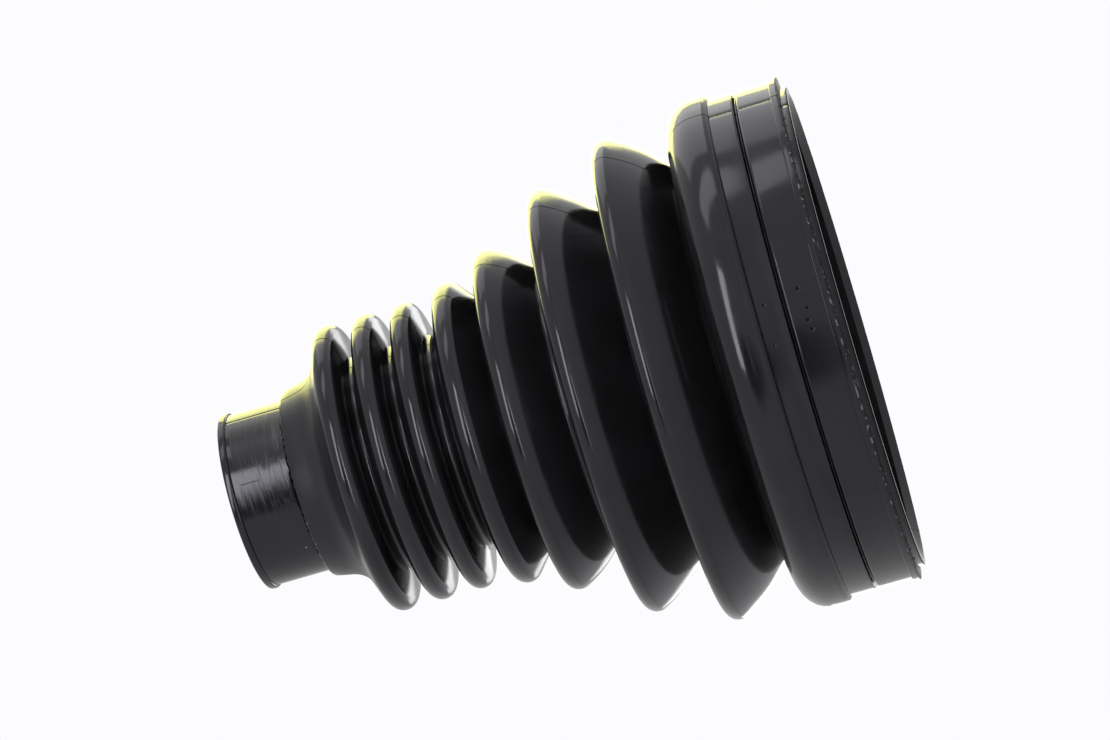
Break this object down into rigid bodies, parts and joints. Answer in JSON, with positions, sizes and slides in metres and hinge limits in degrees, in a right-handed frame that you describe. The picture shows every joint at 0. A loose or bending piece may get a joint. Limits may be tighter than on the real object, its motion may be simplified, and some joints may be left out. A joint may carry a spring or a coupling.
{
  "type": "bellows boot",
  "caption": "Tapered black rubber bellows boot with rounded folds, a wide mouth and a narrow sleeve, each with a seat for a hose clamp.",
  "frame": {"origin": "centre of the large end's face, which the boot stands on", "axes": "+Z along the boot's axis towards its small end; the mould's parting lines lie in the XZ plane"},
  "size_m": [0.098, 0.098, 0.1196],
  "materials": {
    "moulded_rubber": "satin"
  },
  "bodies": {
    "root": {"bellows_boot": "moulded_rubber"}
  },
  "joints": []
}
